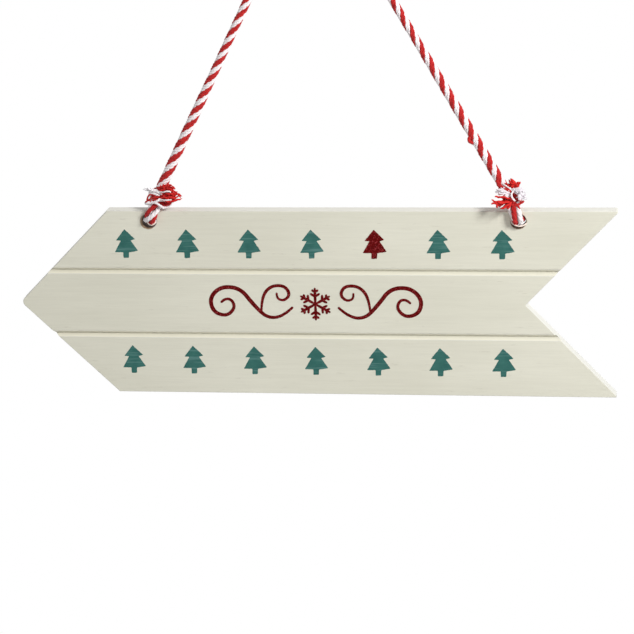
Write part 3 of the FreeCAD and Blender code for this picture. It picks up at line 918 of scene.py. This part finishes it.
def ribbon(line, width, rise, number):
    """Flat stroke on the board's front with round ends, thickest in its middle."""
    lengths = arc_lengths(line)
    half = 0.5 * width * np.interp(lengths / lengths[-1], *STROKE_TAPER)
    for from_end in (lengths, lengths[-1] - lengths):
        end = np.clip(1 - from_end / (STROKE_END * width), 0, STROKE_ROUND)
        half = half * np.sqrt(1 - end ** 2)
    heading = unit(np.gradient(line, axis=0))
    left = np.stack([-heading[:, 2], np.zeros(len(line)), heading[:, 0]], axis=1) * half[:, None]
    foot = line * (1, 0, 1) + (0, BOARD_FRONT, 0)
    top = foot - (0, rise, 0)
    points = np.stack([foot + left, top + left * STROKE_TOP, top - left * STROKE_TOP, foot - left], axis=1)
    faces = []
    for i in range(0, 4 * (len(line) - 1), 4):
        faces += [[i + 1, i + 5, i + 4, i], [i + 2, i + 6, i + 5, i + 1], [i + 3, i + 7, i + 6, i + 2]]
    last = 4 * (len(line) - 1)
    faces += [[1, 0, 3, 2], [last + 2, last + 3, last, last + 1]]
    return points.reshape(-1, 3), faces, np.zeros((4 * len(faces), 2)), number


def stroke(points, side, width, rise):
    route = [mid_plane(FLOURISH_CENTRE) + (side * x, 0, z) for x, z in points]
    return ribbon(spline_line(route, STROKE_STEP), width, rise, 0)


def straight_stroke(start, angle, length, width, rise):
    end = (start[0] + length * math.cos(angle), start[1] + length * math.sin(angle))
    middle = ((start[0] + end[0]) / 2, (start[1] + end[1]) / 2)
    return stroke([start, middle, end], 1, width, rise)


def make_flourish(glitter_red):
    """Two mirrored scrolls with a snow crystal between them."""
    shapes = []
    for side in (-1, 1):
        for number, (points, width) in enumerate(SCROLLS):
            shapes.append(stroke(points, side, width, GLITTER_RISE + SCROLL_LIFT * number))
    for arm in range(FLAKE_ARMS):
        turn = math.radians(90) + math.tau * arm / FLAKE_ARMS
        shapes.append(straight_stroke((0, 0), turn, FLAKE_LENGTH, ARM_WIDTH, GLITTER_RISE + ARM_LIFT * arm))
        for reach, length in FLAKE_BRANCHES:
            start = (reach * math.cos(turn), reach * math.sin(turn))
            for out in (turn - BRANCH_ANGLE, turn + BRANCH_ANGLE):
                shapes.append(straight_stroke(start, out, length, BRANCH_WIDTH, GLITTER_RISE + BRANCH_LIFT))
    make_piece("glitter_flourish", shapes, [glitter_red], smooth=False)


# The part

shared_glitter = red_glitter()
make_trees(shared_glitter)
make_flourish(shared_glitter)
legs, legs_line = make_legs()
snag = make_snag()
left_loop = make_loop(-1, "left_loop")
right_loop = make_loop(1, "right_loop")
left_knot = make_knot(-1, "left_knot_wraps", "left_knot")
right_knot = make_knot(1, "right_knot_wraps", "right_knot")
left_ends = make_loose_yarns(-1, "left_frayed_yarns", "left_frayed_ends")
right_ends = make_loose_yarns(1, "right_frayed_yarns", "right_frayed_ends")

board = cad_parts["board"]
board.data.materials.clear()
board.data.materials.append(painted_wood())


# Light, floor and camera

def area_light(name, place, target, size, power):
    data = bpy.data.lights.new(name, "AREA")
    data.shape = "DISK"
    data.size = size
    data.energy = power
    lamp = bpy.data.objects.new(name, data)
    lamp.location = place
    lamp.rotation_euler = (Vector(target) - Vector(place)).to_track_quat("-Z", "Y").to_euler()
    bpy.context.scene.collection.objects.link(lamp)


def make_world(front, back, left):
    """White all round to look at; as a light, stronger from behind and from the left than from the front."""
    world = bpy.data.worlds.new("studio")
    bpy.context.scene.world = world
    world.use_nodes = True
    tree = world.node_tree
    background = tree.nodes["Background"]
    background.inputs["Color"].default_value = PURE_WHITE
    axes = split(tree, add_node(tree, "ShaderNodeTexCoord").outputs["Generated"])
    behind = maths(tree, "MULTIPLY", span(tree, axes["Y"], -0.3, 0.5),
                   span(tree, axes["Z"], 0.2, 0.8, 1.0, 0.35))
    beside = span(tree, axes["X"], -0.6, -0.95, 0.0, left)
    light = maths(tree, "ADD", span(tree, behind, 0, 1, front, back), beside)
    strength = add_node(tree, "ShaderNodeMix", {0: looked_at(tree), 2: light, 3: 1.0}).outputs[0]
    tree.links.new(strength, background.inputs["Strength"])


def make_floor(height, half):
    mesh = bpy.data.meshes.new("floor")
    corners = [(-half, -half, height), (half, -half, height), (half, half, height), (-half, half, height)]
    mesh.from_pydata(corners, [], [(0, 1, 2, 3)])
    mesh.materials.append(stage_white())
    floor = bpy.data.objects.new("floor", mesh)
    bpy.context.scene.collection.objects.link(floor)


def make_camera():
    right, up, back = camera_axes()
    data = bpy.data.cameras.new("camera")
    data.sensor_width = SENSOR_WIDTH
    data.lens = FOCAL_PIXELS / FRAME_PIXELS * SENSOR_WIDTH
    camera = bpy.data.objects.new("camera", data)
    turn = Matrix((right, up, back)).transposed().to_4x4()
    camera.matrix_world = Matrix.Translation(CAMERA_TARGET + CAMERA_DISTANCE * back) @ turn
    bpy.context.scene.collection.objects.link(camera)
    bpy.context.scene.camera = camera


make_world(**WORLD_LIGHT)
area_light("key", KEY_PLACE, KEY_TARGET, KEY_SIZE, KEY_POWER)
make_floor(FLOOR_HEIGHT, FLOOR_HALF)
make_camera()
bpy.context.scene.view_settings.view_transform = "Standard"
